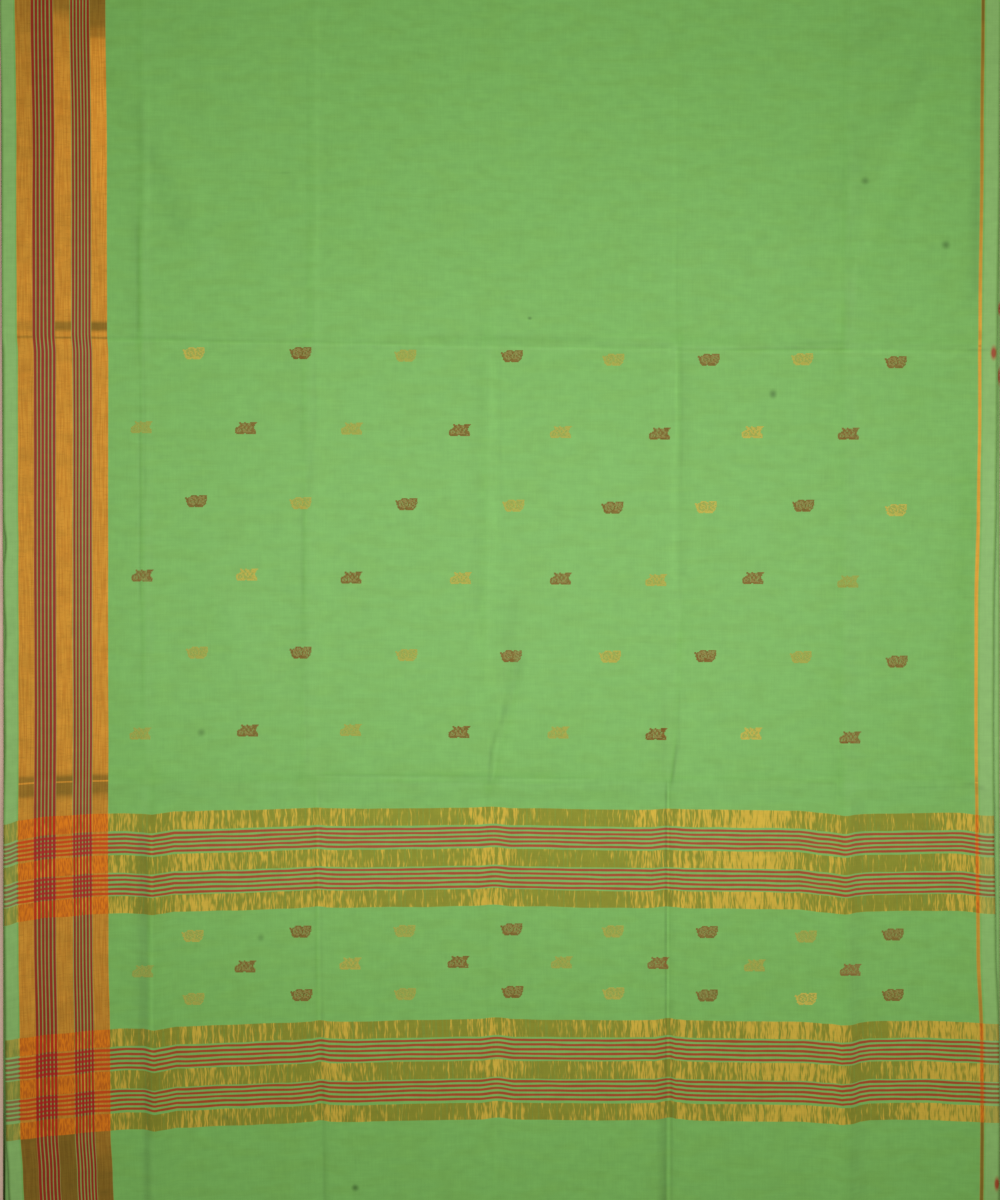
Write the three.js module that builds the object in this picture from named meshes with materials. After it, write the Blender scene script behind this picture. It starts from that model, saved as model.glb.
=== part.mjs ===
// A cotton sari, opened to its full width, face up, and folded back and forth along its length in four
// layers. The top layer ends in the pallu. The cloth keeps the press lines of the packet it was stored in.
// Millimetres. +X runs across the cloth towards the narrow gold line, +Y along it away from the pallu
// end, and +Z is up. Places are first worked out from the middle of the visible face, at height 0 on the
// surface below, and the whole is then centred on its own box.

import * as THREE from "three";

// Sizes of the cloth
const clothWidth = 1170;
const sheetThickness = 1.2;
const layerGap = 2.2;
const panelLength = 511;
const firstPressLine = -209;
const foldReach = 6;

// Where the cloth starts, turns and ends along Y, from the hidden inner end at the bottom to the pallu.
// Each line across is a little askew, by its tilt from one selvedge to the other, and bowed at mid-width.
const turns = [
  { at: -716, tilt: 5, bow: -2 }, // inner end
  { at: 803, tilt: -4, bow: 2 }, // back fold
  { at: -715, tilt: -3, bow: 3 }, // front fold
  { at: 807, tilt: 3, bow: -2 }, // back fold
  { at: -725, tilt: 4, bow: -3 }, // pallu end
];

// How each layer lies, from the bottom up: side is its shift along X, and skew its shift per metre of Y
const layers = [
  { side: -0.5, skew: 1 },
  { side: -0.4, skew: -4 },
  { side: 2.3, skew: 4 },
  { side: 0, skew: 0 },
];

// The top layer's two selvedges, which wander: their X at stations along Y
const selvedges = [
  { y: -725, left: -576, right: 587 },
  { y: -623, left: -581, right: 589 },
  { y: -517, left: -580.5, right: 588 },
  { y: -411, left: -582, right: 582 },
  { y: -270, left: -583.5, right: 580.5 },
  { y: -141, left: -582, right: 580 },
  { y: -47, left: -580.5, right: 580.5 },
  { y: 65, left: -579.5, right: 585.5 },
  { y: 176, left: -584, right: 586 },
  { y: 353, left: -584, right: 584 },
  { y: 529, left: -585, right: 587.5 },
  { y: 813, left: -587, right: 589 },
];

// Press lines that run along the cloth, each a ridge or a trough in the top layer
const linesAlong = [
  { x: -417, rise: 1.4 },
  { x: -222, rise: 1.9 },
  { x: -12, rise: 2.4 },
  { x: 205, rise: 1.9 },
  { x: 409, rise: -1.4 },
];

// Press lines that run across it, one panel apart
const linesAcross = [
  { y: firstPressLine, rise: -1.3 },
  { y: firstPressLine + panelLength, rise: 2.1 },
];
const lineHalfWidth = 14;

// Soft swells where the cloth doesn't lie quite flat: crests are so far apart, and rise this much
const swells = [
  { apartX: 620, apartY: 900, start: 0.4, rise: 0.7 },
  { apartX: -410, apartY: 730, start: 2.1, rise: 0.5 },
  { apartX: 1500, apartY: 380, start: 4.2, rise: 0.4 },
];

// The selvedges lift a little off the layers below, and the folded ends spring up
const selvedgeLift = 1.1;
const selvedgeLiftWidth = 26;
const endLift = 2.4;
const endLiftLength = 70;

const layerPitch = sheetThickness + layerGap;
const topLevel = layers.length - 1;
const halfThickness = sheetThickness / 2;
const frontEnd = turns[topLevel + 1].at;
const backEnd = turns[topLevel].at;
const middleY = (frontEnd + backEnd) / 2;

// Value of a column at a place between the stations of a table
function readTable(table, placeColumn, valueColumn, place) {
  const last = table.length - 1;
  if (place <= table[0][placeColumn]) return table[0][valueColumn];
  if (place >= table[last][placeColumn]) return table[last][valueColumn];
  const next = table.findIndex((row) => row[placeColumn] > place);
  const before = table[next - 1];
  const after = table[next];
  const share = (place - before[placeColumn]) / (after[placeColumn] - before[placeColumn]);
  const eased = share * share * (3 - 2 * share);
  return before[valueColumn] + eased * (after[valueColumn] - before[valueColumn]);
}

// 0 on the bottom layer to 3 on the top one, the same all through a layer's thickness, and between two
// layers only in the folds that join them
function levelAt(height) {
  const raised = height / layerPitch;
  const level = Math.floor(raised);
  const aboveLayer = (height - level * layerPitch - sheetThickness) / layerGap;
  return Math.min(topLevel, level + Math.max(0, aboveLayer));
}

function ridge(distance, rise) {
  return rise * Math.exp(-((distance / lineHalfWidth) ** 2));
}

// How far the top layer stands above its flat height
function reliefAt(x, y) {
  let relief = swells.reduce((sum, swell) => sum + swell.rise, 0);
  for (const swell of swells) {
    relief += swell.rise * Math.sin(2 * Math.PI * (x / swell.apartX + y / swell.apartY) + swell.start);
  }
  for (const line of linesAlong) {
    relief += ridge(x - line.x, line.rise);
  }
  for (const line of linesAcross) {
    relief += ridge(y - line.y, line.rise);
  }
  const toSelvedge = clothWidth / 2 - Math.abs(x);
  relief += selvedgeLift * Math.exp(-Math.max(0, toSelvedge) / selvedgeLiftWidth);
  const toEnd = Math.min(y - frontEnd, backEnd - y);
  relief += endLift * Math.exp(-Math.max(0, toEnd) / endLiftLength);
  return relief;
}

// Sideways place of a point that is at flatX on the cloth's flat width
function acrossAt(flatX, y, level) {
  const lower = Math.floor(level);
  const upper = Math.min(topLevel, lower + 1);
  const place = (index) => {
    if (index === topLevel) {
      const left = readTable(selvedges, "y", "left", y);
      const right = readTable(selvedges, "y", "right", y);
      return left + ((right - left) * (flatX + clothWidth / 2)) / clothWidth;
    }
    return flatX + layers[index].side + (layers[index].skew * y) / 1000;
  };
  return place(lower) + (level - lower) * (place(upper) - place(lower));
}

// How far a point moves along Y, because the fold or end that is nearest to it lies askew
function alongShift(flatX, y, level) {
  const index = y > middleY ? 2 * Math.floor(level / 2) + 1 : 2 * Math.round(level / 2);
  const turn = turns[index];
  const across = flatX / clothWidth;
  const askew = turn.tilt * across + turn.bow * (1 - (2 * across) ** 2);
  return (askew * Math.abs(y - middleY)) / (backEnd - middleY);
}

// Rows along one layer, between its two turns: fine over the press lines and wide apart elsewhere
function rowsBetween(start, finish) {
  const low = Math.min(start, finish);
  const high = Math.max(start, finish);
  const rows = [];
  let before = low;
  for (const line of linesAcross) {
    rows.push((before + line.y) / 2, line.y - lineHalfWidth, line.y, line.y + lineHalfWidth);
    before = line.y;
  }
  rows.push((before + high) / 2);
  return start < finish ? rows : rows.reverse();
}

// The middle of the sheet's thickness, as places and headings in the section of length and height
function sheetPath() {
  const path = [];
  for (let index = 0; index < layers.length; index += 1) {
    const height = index * layerPitch + halfThickness;
    const start = turns[index].at;
    const finish = turns[index + 1].at;
    const onwards = Math.sign(finish - start);
    for (const y of [start, ...rowsBetween(start, finish), finish]) {
      path.push({ place: new THREE.Vector2(y, height), heading: new THREE.Vector2(onwards, 0) });
    }
    if (index < topLevel) {
      path.push(...foldAt(finish, height, onwards));
    }
  }
  return path;
}

// Half an oval, from one layer up into the next
function foldAt(y, height, outwards) {
  const climb = layerPitch / 2;
  return [-45, 0, 45].map((degrees) => {
    const turned = THREE.MathUtils.degToRad(degrees);
    const out = outwards * foldReach;
    return {
      place: new THREE.Vector2(y + out * Math.cos(turned), height + climb * (1 + Math.sin(turned))),
      heading: new THREE.Vector2(-out * Math.sin(turned), climb * Math.cos(turned)).normalize(),
    };
  });
}

// The closed outline of the folded sheet: one side of the path out, and the other side back
function sheetOutline() {
  const oneSide = [];
  const otherSide = [];
  for (const { place, heading } of sheetPath()) {
    const aside = new THREE.Vector2(-heading.y, heading.x).multiplyScalar(halfThickness);
    oneSide.push(place.clone().add(aside));
    otherSide.push(place.clone().sub(aside));
  }
  return new THREE.Shape([...oneSide, ...otherSide.reverse()]);
}

// Flat places across the cloth: fine over the press lines and near the selvedges
function columnsAcross() {
  const half = clothWidth / 2;
  const columns = [-half, -half + selvedgeLiftWidth];
  let before = -half;
  for (const line of linesAlong) {
    columns.push((before + line.x) / 2, line.x - lineHalfWidth, line.x, line.x + lineHalfWidth);
    before = line.x;
  }
  columns.push((before + half) / 2, half - selvedgeLiftWidth, half);
  return columns;
}

// The folded section is run out across the width, and each point is then moved to where the cloth lies
function foldedSheet() {
  const columns = columnsAcross();
  const steps = columns.length - 1;
  const geometry = new THREE.ExtrudeGeometry(sheetOutline(), { depth: 1, steps, bevelEnabled: false });
  const points = geometry.attributes.position;
  for (let index = 0; index < points.count; index += 1) {
    const y = points.getX(index);
    const height = points.getY(index);
    const flatX = columns[Math.round(points.getZ(index) * steps)];
    const level = levelAt(height);
    const z = height + (level / topLevel) * reliefAt(flatX, y);
    points.setXYZ(index, acrossAt(flatX, y, level), y + alongShift(flatX, y, level), z);
  }
  geometry.computeBoundingBox();
  const middle = geometry.boundingBox.getCenter(new THREE.Vector3());
  geometry.translate(-middle.x, -middle.y, -geometry.boundingBox.min.z);
  geometry.computeVertexNormals();
  return geometry;
}

const greenCotton = new THREE.MeshStandardMaterial({ color: "#7fb86a", roughness: 0.85, metalness: 0 });

const sariCloth = new THREE.Mesh(foldedSheet(), greenCotton);
sariCloth.name = "sari_cloth";

const sari = new THREE.Group();
sari.add(sariCloth);

export default sari;
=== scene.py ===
import collections
import math
import random
import re

import bpy
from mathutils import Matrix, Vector, noise
from mathutils.bvhtree import BVHTree


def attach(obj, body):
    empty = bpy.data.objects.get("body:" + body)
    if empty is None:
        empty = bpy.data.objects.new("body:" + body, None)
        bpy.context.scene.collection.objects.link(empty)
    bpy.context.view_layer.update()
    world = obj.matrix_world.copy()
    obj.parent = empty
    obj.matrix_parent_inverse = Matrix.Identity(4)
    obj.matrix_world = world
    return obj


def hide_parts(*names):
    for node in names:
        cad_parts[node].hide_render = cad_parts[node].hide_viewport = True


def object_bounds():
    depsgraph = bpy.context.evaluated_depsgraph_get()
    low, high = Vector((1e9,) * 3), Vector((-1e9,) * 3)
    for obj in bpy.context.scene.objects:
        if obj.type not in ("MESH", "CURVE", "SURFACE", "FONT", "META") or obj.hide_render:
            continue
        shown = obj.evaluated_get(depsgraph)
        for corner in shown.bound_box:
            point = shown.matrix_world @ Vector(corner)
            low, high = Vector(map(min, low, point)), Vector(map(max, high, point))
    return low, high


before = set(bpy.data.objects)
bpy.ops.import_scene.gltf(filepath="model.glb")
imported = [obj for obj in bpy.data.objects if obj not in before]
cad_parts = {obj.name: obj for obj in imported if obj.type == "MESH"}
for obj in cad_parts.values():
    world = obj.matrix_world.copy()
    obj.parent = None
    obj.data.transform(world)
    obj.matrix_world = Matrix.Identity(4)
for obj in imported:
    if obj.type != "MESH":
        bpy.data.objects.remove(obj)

bl_info = {
    "name": "Folded cotton sari",
    "version": (1, 0, 0),
    "blender": (4, 5, 0),
    "location": "3D View > Sidebar > Sari",
    "description": "Green handloom cotton sari, folded back and forth, with its border, pallu and figures",
    "category": "Object",
}

MM = 0.001
CAD_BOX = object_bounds()

# The photograph shows the whole width of the cloth, and one of its pixels covers this many millimetres
PHOTO_PIXEL_MM = 1.175
PHOTO_WIDTH, PHOTO_HEIGHT = 1000, 1200


def table(columns, *rows):
    """Rows whose values are read by the names of the columns."""
    named = collections.namedtuple("Row", columns)
    return [named(*row) for row in rows]


# All sizes below are millimetres on the cloth. x runs across from the middle of the photograph towards
# the narrow gold line, and y along the cloth, away from the pallu end.

# Where the cloth starts, turns and ends along y, from the hidden inner end at the bottom to the pallu
TURNS = table("at tilt bow", (-716, 5, -2), (803, -4, 2), (-715, -3, 3), (807, 3, -2), (-725, 4, -3))

# How each layer lies, from the bottom up: side is its shift across, skew its shift for each metre of y
LAYERS = table("side skew", (-0.5, 1), (-0.4, -4), (3.2, 0), (0, 0))

# The top layer's two selvedges at stations along y
SELVEDGES = table(
    "y left right",
    (-725, -575, 585.5), (-675, -577.5, 586.2), (-623, -580.6, 586.8), (-517, -581.5, 586.4),
    (-411, -583, 582.5), (-270, -583.4, 580.8), (-141, -582.7, 580.2), (0, -583, 580.6), (112, -583.5, 583),
    (235, -583.5, 584), (290, -583.5, 584), (315, -585, 584.5), (529, -585.5, 587), (705, -587.5, 588.5),
    (813, -588, 589))

# Short stretches where the left selvedge curls in over itself
CURLS = table("y half_length reach", (66, 19, 3.5), (-40, 34, 2.4), (-165, 50, 1.2), (-430, 60, 1.4))
CURL_WIDTH = 9

# Both cut ends are turned under by a hem, so the pallu's face starts this far along the cloth
HEM_LENGTH = 9.5

# How far the weft sags towards the pallu end, at stations across, in four courses of the cloth
WEFT_COURSES = {"first_figures": 286, "last_figures": -157, "upper_bands": -290, "lower_bands": -600}
WEFT_BOW = table(
    "x first_figures last_figures upper_bands lower_bands",
    (-584, -4, 3, 22, 25), (-564, -4, 3, 16.2, 23), (-529, -3.5, 3, 11.5, 18.5), (-470, -3, 3, 7.5, 13.4),
    (-444, -3, 2.5, 7.1, 11.3), (-424, -2.5, 2, 8.4, 11.3), (-410, -2.5, 2, 9.7, 14.2),
    (-401, -2.5, 1, 8.2, 12.4), (-382, -2.5, 0, 5.5, 9.4), (-317, -2, -1.5, 4.1, 6.5),
    (-247, -1.5, -1.8, 1.8, 4.1), (-226, -1, -1.5, 0.6, 2.4), (-214, -1, -1.5, -0.3, 0.3),
    (-200, -1, -1.2, 0.8, 2.2), (-182, -1, -1, 1.1, 2.4), (-94, 0, 0, 0.3, 0.4),
    (-28, 0.5, 0.5, -0.8, -0.6), (-6, 0.5, 0.5, -2.2, -2.8), (16, 0.8, 0.8, -0.2, -0.3),
    (129, 2, 2, 1.6, 0.3), (180, 3, 2.3, 2.1, -0.3), (197, 3, 2.3, 0.4, -3), (206, 3, 2.2, 0.9, -0.9),
    (223, 3, 2, 2, 0.7), (305, 4, 1.8, 2.8, 1.9), (352, 4.5, 2.5, 3.6, 2.2), (387, 5, 4, 7.4, 4.4),
    (398, 5.2, 4.5, 9, 6.3), (409, 5.5, 5, 10.5, 5.6), (429, 6, 5.5, 7.2, 0.2), (444, 6, 5.5, 6.8, -0.2),
    (494, 6.5, 6, 6, -0.7), (540, 6.8, 6.3, 5.3, 1.5), (580, 7, 6.5, 9.8, 3.2))

# Press lines and soft folds of the top layer, each a ridge or trough from one place to another
FOLD_LINES = table(
    "x y to_x to_y rise half_width",
    (-417, 813, -421, 300, 0.7, 6), (-420, 300, -417, -209, 0.3, 6), (-414, -209, -410, -725, -0.6, 7),
    (-216, 813, -220, 300, 0.4, 6), (-225, 300, -228, -209, 0.6, 9), (-215, -209, -206, -725, 0.6, 6),
    (-10, 813, -12, 300, 0.2, 6), (-13, 300, -12, -90, 1.0, 10), (26, -60, -10, -209, 1.3, 7),
    (-6, -209, -6, -725, 0.7, 7), (205, 813, 206, 300, 0.5, 6), (209, 300, 212, 10, 0.6, 8),
    (214, 30, 201, -209, 0.5, 7), (199, -209, 197, -725, 0.7, 6), (409, 813, 407, 300, -0.8, 8),
    (409, 300, 408, -209, -0.6, 10), (409, -209, 410, -725, -0.9, 10), (-590, 304, -110, 303, 0.25, 7),
    (-110, 303, 260, 300, 0.35, 8), (260, 300, 590, 298, 0.35, 8), (-590, -211, 590, -213, -0.35, 7),
    (-466, 660, -352, 425, 2, 17), (-330, 640, -262, 380, 0.9, 26), (545, 720, 416, 380, 2.4, 15),
    (505, 640, 340, 425, 1.3, 22), (300, 700, 235, 420, 0.8, 30), (-317, -10, -247, -150, 0.7, 9),
    (-352, 60, -300, -100, 0.5, 13), (240, 60, 206, -50, 0.7, 8), (120, 20, 60, -150, 0.5, 14),
    (330, 120, 290, -120, 0.5, 16), (470, 250, 440, -150, 0.4, 19), (566, 150, 564, -200, -2.2, 16))

# Soft swells of the whole stack: crests are so far apart, and rise this much
SWELLS = table(
    "apart_x apart_y start rise",
    (620, 900, 0.4, 0.7), (-410, 730, 2.1, 0.5), (1500, 380, 4.2, 0.4))

# The broad border, measured from the left selvedge
GOLD_BANDS = table("start end", (17, 35.6), (61.6, 81.2), (104.6, 123.2))
MAROON_STRIPES = table("first apart count width", (37.4, 4.42, 6, 3.25), (83.3, 3.87, 6, 2.6))

# How wide the pale strips at the left and right selvedges are. They reach a little past the edge. The
# narrow gold line is measured from the right selvedge.
LEFT_STRIP, RIGHT_STRIP, PAST_EDGE = 15.4, 16.5, 9
NARROW_LINE = (22.4, 18.4)

# The pallu, measured from its end. The upper three zari bands lie in one stretch of it.
ZARI_BANDS = table(
    "start end",
    (459.8, 480.3), (411.6, 432), (364.3, 384.2), (211, 231.4), (161.8, 182.8), (113.6, 133.4))
UPPER_BANDS = (300, 550)
RUST_STRIPES = table(
    "first apart count width",
    (435.8, 5.06, 5, 2.9), (387.1, 5.32, 5, 2.9), (186, 5.35, 5, 2.9), (137.9, 5.25, 5, 2.9))

# How much of the zari weft is painted with gold gleams, a painted reflection of the light it catches, at
# stations across, in the upper and lower three bands
PAINTED_GLEAMS = table(
    "x upper lower",
    (-585, 0.45, 0.45), (-440, 0.5, 0.45), (-424, 0.12, 0.08), (-403, 0.22, 0.15), (-361, 0.63, 0.5),
    (-320, 0.4, 0.38), (-233, 0.36, 0.2), (-200, 0.52, 0.62), (-160, 0.26, 0.3), (-80, 0.1, 0.05),
    (-42, 0.3, 0.15), (-20, 0.62, 0.55), (12, 0.4, 0.45), (40, 0.12, 0.06), (100, 0.05, 0.3),
    (140, 0.08, 0.28), (165, 0.5, 0.62), (187, 0.5, 0.55), (197, 0.06, 0.06), (207, 0.55, 0.6),
    (240, 0.46, 0.36), (290, 0.8, 0.52), (325, 0.68, 0.68), (352, 0.4, 0.7), (385, 0.28, 0.5),
    (405, 0.5, 0.55), (414, 0.03, 0.02), (440, 0.08, 0.16), (500, 0.14, 0.74), (540, 0.55, 0.66))

# Painted shade on the zari in the warp, where it catches less light, along the cloth from the pallu end. A
# depth below 0 paints it brighter, a painted highlight. depths are for each gold band of the border and for
# the narrow line.
PAINTED_ZARI_SHADE_AND_LIGHT = table(
    "start end soft depths",
    (-20, 116, 4, (0.6, 0.6, 0.36, 0.45)), (-20, 80, 25, (0, 0, 0.34, 0)), (-20, 270, 30, (0, 0, 0, 0.2)),
    (-20, 500, 16, (0.06, 0.12, 0.13, 0.24)), (440, 1035, 40, (0.06, 0.03, 0.03, 0.04)),
    (503, 524, 3, (0.44, 0.34, 0.34, 0.2)), (498, 524, 5, (0.03, 0.3, 0.3, 0.06)),
    (1038, 1049, 3, (0.16, 0.48, 0.6, 0.16)), (1028.5, 1031, 1, (0.3, 0.4, 0.4, 0.3)),
    (1195, 1800, 150, (0, 0, 0, 0.45)), (1200, 1600, 60, (0.05, -0.1, -0.24, 0)),
    (1360, 1600, 30, (0.14, 0.08, 0.02, 0.25)), (1382, 1600, 4, (0.02, 0.04, 0.4, 0)),
    (1394, 1600, 6, (0, 0, 0.34, 0)), (1411, 1600, 10, (0.1, 0.4, 0.1, 0.25)))

# Painted highlights: bright threads on the very edge of a press line, across the border's zari
PAINTED_EDGE_HIGHLIGHTS = table("start end", (515.9, 517.9), (1033.6, 1035.4))

# Painted shade and painted highlight along the press lines, and lines of single thick threads. depth is how
# much lighter (a painted highlight) or darker (painted shade, when below 0) the colour is made along one.
# A light mark also stands up and a dark one lies low.
PRESS_SHADE_AND_THREAD_MARKS = table(
    "x y to_x to_y half_width depth",
    (-422.4, 599.2, -423.5, 446.5, 3.5, -0.04), (-413.8, 599.2, -414.2, 440.6, 3.5, 0.04),
    (-426.1, 446.5, -426.1, 312.6, 2.7, -0.11), (-431.2, 493.5, -432.4, 312.6, 5.9, -0.04),
    (-423.9, 299.6, -423.7, 199.8, 1.6, -0.05), (-418.3, 299.6, -417.6, 117.5, 2.1, -0.05),
    (-423.7, 199.8, -423.2, 0, 1.5, -0.11), (-422.4, 0, -421.2, -117.5, 2.4, -0.04),
    (-399.5, 293.8, -394.8, -211.5, 16.4, 0.02), (-420.7, -270.2, -420.1, -540.5, 7.1, -0.17),
    (-416.4, -270.2, -415.4, -540.5, 2.4, -0.07), (-410.3, -270.2, -409.8, -540.5, 1.9, 0.11),
    (-414.8, -540.5, -414.8, -763.8, 5.1, -0.19), (-215, 728.5, -214.4, 314.9, 2.8, 0.04),
    (-226.2, 634.5, -227.4, 314.9, 2.4, -0.025), (-233.8, 299.6, -233.2, 199.8, 3.3, -0.05),
    (-219.1, 299.6, -216.8, 223.2, 2.8, -0.05), (-217.4, 223.2, -225.6, 117.5, 3.8, -0.055),
    (-232.1, 129.2, -232.7, -11.8, 2.9, -0.09), (-235, -11.8, -232.7, -105.8, 5.9, -0.04),
    (-228, -82.2, -225.8, -193.9, 1.9, -0.05), (-206.8, 299.6, -209.2, -117.5, 10.6, 0.025),
    (-215, -235, -212.7, -505.2, 1.9, 0.07), (-211.5, -223.2, -208.8, -481.8, 2, -0.06),
    (-208.8, -481.8, -206.2, -740.2, 2, -0.11), (-204.5, -540.5, -203.3, -740.2, 2.8, -0.04),
    (-218, -235, -216.8, -481.8, 1.8, -0.04), (-25.3, 299.6, -27, -11.8, 5.9, -0.04),
    (-10.6, 299.6, -10, 199.8, 2.6, 0.045), (-5.9, 299.6, -5.9, 0, 2.8, 0.03),
    (-11.2, 199.8, -13.5, 0, 4.7, 0.045), (0.4, 299.6, 0.6, 117.5, 1.9, -0.035),
    (-14.1, 0, -15.3, -105.8, 7.1, 0.04), (14.1, 0, 9.4, -88.1, 8.2, -0.065),
    (3.5, 0, 5.3, -70.5, 3.5, -0.03), (27, -64.6, 4.7, -135.1, 5.3, -0.09),
    (5.9, -131.6, -4.7, -158.6, 3.1, -0.12), (-4.7, -158.6, -11.2, -178.6, 2.4, -0.15),
    (-10.6, -176.2, -13.5, -211.5, 1.9, -0.15), (0, -117.5, -7.1, -205.6, 2.1, 0.06),
    (-6.5, -190.3, -12.3, -213.8, 1.5, -0.1), (16.4, -105.8, 9.4, -193.9, 5.9, 0.035),
    (11.8, -235, 11.8, -540.5, 8.2, -0.03), (-5.3, -540.5, -5.9, -740.2, 2.4, 0.03),
    (-15.3, -235, -15.3, -540.5, 1.6, -0.03), (204.5, 599.2, 203.9, 317.2, 3.5, 0.03),
    (208.3, 458.2, 208, 311.4, 1.2, -0.04), (207.2, 298.4, 207.2, 188, 1.9, 0.075),
    (214.3, 298.4, 214.3, 164.5, 3.5, -0.085), (205, 188, 203.9, 11.8, 4.2, 0.055),
    (212.7, 176.2, 212.1, 0, 3.3, -0.048), (208, 0, 208, -105.8, 5.9, 0.03),
    (193.3, -105.8, 192.1, -205.6, 3.8, -0.055), (211.5, -105.8, 209.9, -178.6, 1.9, -0.055),
    (208, -170.4, 202.1, -216.2, 2.1, -0.17), (223.2, -105.8, 219.7, -205.6, 5.3, 0.05),
    (195.1, -218.6, 194.8, -528.8, 1.3, -0.24), (197.6, -218.6, 197.2, -528.8, 1.2, 0.12),
    (200, -218.6, 199.8, -528.8, 1.2, -0.07), (203.3, -235, 202.7, -528.8, 2.4, -0.04),
    (194.6, -528.8, 194.1, -763.8, 1.5, -0.25), (201.8, -528.8, 201.8, -763.8, 1.6, -0.14),
    (189.2, -528.8, 189.2, -763.8, 3.5, -0.03), (198, -528.8, 198, -763.8, 1.4, 0.06),
    (419.5, 587.5, 419.5, 440.6, 8.2, -0.025), (400.1, 458.2, 400.1, 310.2, 2.8, 0.04),
    (411.8, 452.4, 411.2, 310.2, 3.5, -0.035), (413.6, 293.8, 413, 188, 2.8, -0.03),
    (413.6, 188, 415.9, -105.8, 5.9, -0.035), (414.8, -105.8, 414.8, -205.6, 4.7, -0.03),
    (394.8, -235, 394.8, -763.8, 11.8, 0.04), (420.1, -235, 419.5, -763.8, 8.2, -0.07),
    (414.5, -235, 413.6, -763.8, 2.8, -0.035), (520.5, 326.7, 520.5, 263.2, 1.1, 0.05),
    (563.3, 728.5, 558.8, 352.5, 1.2, -0.16), (-432, 580, -372, 430, 9.5, -0.075),
    (-398, 610, -345, 455, 10, 0.03), (540.5, 728.5, 425.4, 397.2, 10.6, 0.045),
    (524, 690, 470, 560, 10, -0.07), (505.2, 634.5, 358.4, 432.4, 10, -0.035),
    (500, 580, 473, 490, 10, 0.04), (470, 690, 400, 640, 18, -0.05),
    (-465.3, 309.6, -352.5, 308.4, 2.4, -0.07), (-465.3, 304.3, -352.5, 303.7, 1.5, 0.06),
    (-423, 299.6, -352.5, 299.6, 1.3, 0.03), (-352.5, 306, -211.5, 305, 2.1, -0.065),
    (-352.5, 302.4, -211.5, 301, 1.6, 0.045), (-211.5, 300.6, -141, 300.1, 1.5, 0.055),
    (-211.5, 297, -70.5, 295.7, 1.8, -0.035), (-211.5, 304.3, -70.5, 302, 2.6, -0.035),
    (-141, 299.4, -70.5, 298.4, 1.5, 0.06), (-88.1, 310.2, 23.5, 309, 3.5, -0.065),
    (-70.5, 303.7, 105.8, 301.4, 3.5, -0.03), (-70.5, 298, 23.5, 296.9, 1.6, 0.06),
    (23.5, 307.6, 117.5, 306.7, 3.9, -0.065), (23.5, 296.6, 117.5, 295.2, 1.6, 0.085),
    (117.5, 310.2, 199.8, 310.2, 2.4, 0.05), (108.1, 300.1, 202.1, 299.4, 3.1, -0.08),
    (117.5, 294.9, 202.1, 293.8, 1.5, 0.06), (202.1, 294.9, 279.7, 294.9, 1.6, -0.055),
    (202.1, 298.4, 279.7, 298.4, 1.6, 0.04), (202.1, 292.2, 279.7, 291.9, 1.8, 0.05),
    (276.1, 295.9, 352.5, 296.1, 2.2, -0.11), (276.1, 300.8, 352.5, 300.8, 2.4, -0.035),
    (276.1, 291.4, 352.5, 292.1, 1.8, 0.06), (350.2, 302.9, 408.9, 302.9, 3.5, -0.1),
    (350.2, 296.1, 408.9, 296.1, 1.8, -0.09), (352.5, 292.6, 408.9, 292.6, 1.6, 0.1),
    (408.9, 297.5, 470, 298.4, 2.8, -0.04), (408.9, 292.3, 470, 291.6, 2.1, 0.1),
    (470, 298.4, 549.9, 299, 1.3, -0.045), (470, 294.9, 549.9, 294.9, 1.3, -0.045),
    (470, 291, 549.9, 290.9, 2.6, 0.07), (557, 294.3, 571.1, 294.3, 1.6, -0.3),
    (-465.3, -219.1, -352.5, -219.1, 3.5, -0.045), (-465.3, -200.9, -352.5, -199.8, 5.9, 0.03),
    (-352.5, -215, -211.5, -215.6, 4.7, -0.03), (-213.8, -205.9, -135.1, -206.3, 1.9, -0.08),
    (-213.8, -215, -135.1, -215.7, 1.9, -0.035), (-135.1, -206.8, -70.5, -206.8, 1.6, -0.07),
    (-135.1, -210.6, -70.5, -210.9, 1.4, 0.05), (-135.1, -216.2, -70.5, -216.2, 2.6, -0.045),
    (-70.5, -207, 5.9, -208.4, 2.2, -0.07), (-70.5, -215, 5.9, -215.5, 2, -0.055),
    (-70.5, -198.6, 5.9, -198.6, 4.7, 0.04), (5.9, -209.2, 117.5, -210.1, 1.5, -0.04),
    (5.9, -212.7, 117.5, -212.7, 1.4, 0.045), (5.9, -217.4, 117.5, -217.7, 2.8, -0.03),
    (117.5, -213.8, 206.8, -214.4, 1.5, -0.03), (117.5, -219.7, 206.8, -219.7, 2.8, -0.04),
    (206.8, -206.8, 282, -207.4, 1.8, 0.04), (282, -212, 352.5, -212.4, 1.4, -0.045),
    (346.6, -215.5, 408.9, -216.2, 1.6, -0.035), (346.6, -210.3, 408.9, -210.9, 2.8, 0.045),
    (408.9, -216.2, 470, -216.8, 2.1, -0.04), (470, -220.9, 554.6, -220.4, 1.9, -0.08),
    (-465.3, -226.8, 587.5, -228, 7.1, -0.035), (555.8, -216.2, 567.5, -222.1, 2.6, -0.3),
    (538.1, 493.5, 592.2, 492.3, 1.2, -0.14), (542.9, 414.2, 587.5, 413.6, 1.1, -0.09),
    (540.5, 352.5, 587.5, 351.3, 1.1, -0.05))
PRESS_RELIEF = 2.2
MARK_END = 8

# The mesh is finest where the press lines wander, across the cloth and along it
CLOSE_COLUMNS = [(-431, -406), (-237, -203), (-27, 26), (191, 217), (400, 421)]
CLOSE_ROWS = [(-229, -200), (288, 316)]
CLOSE_STEP = 1.5

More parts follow.
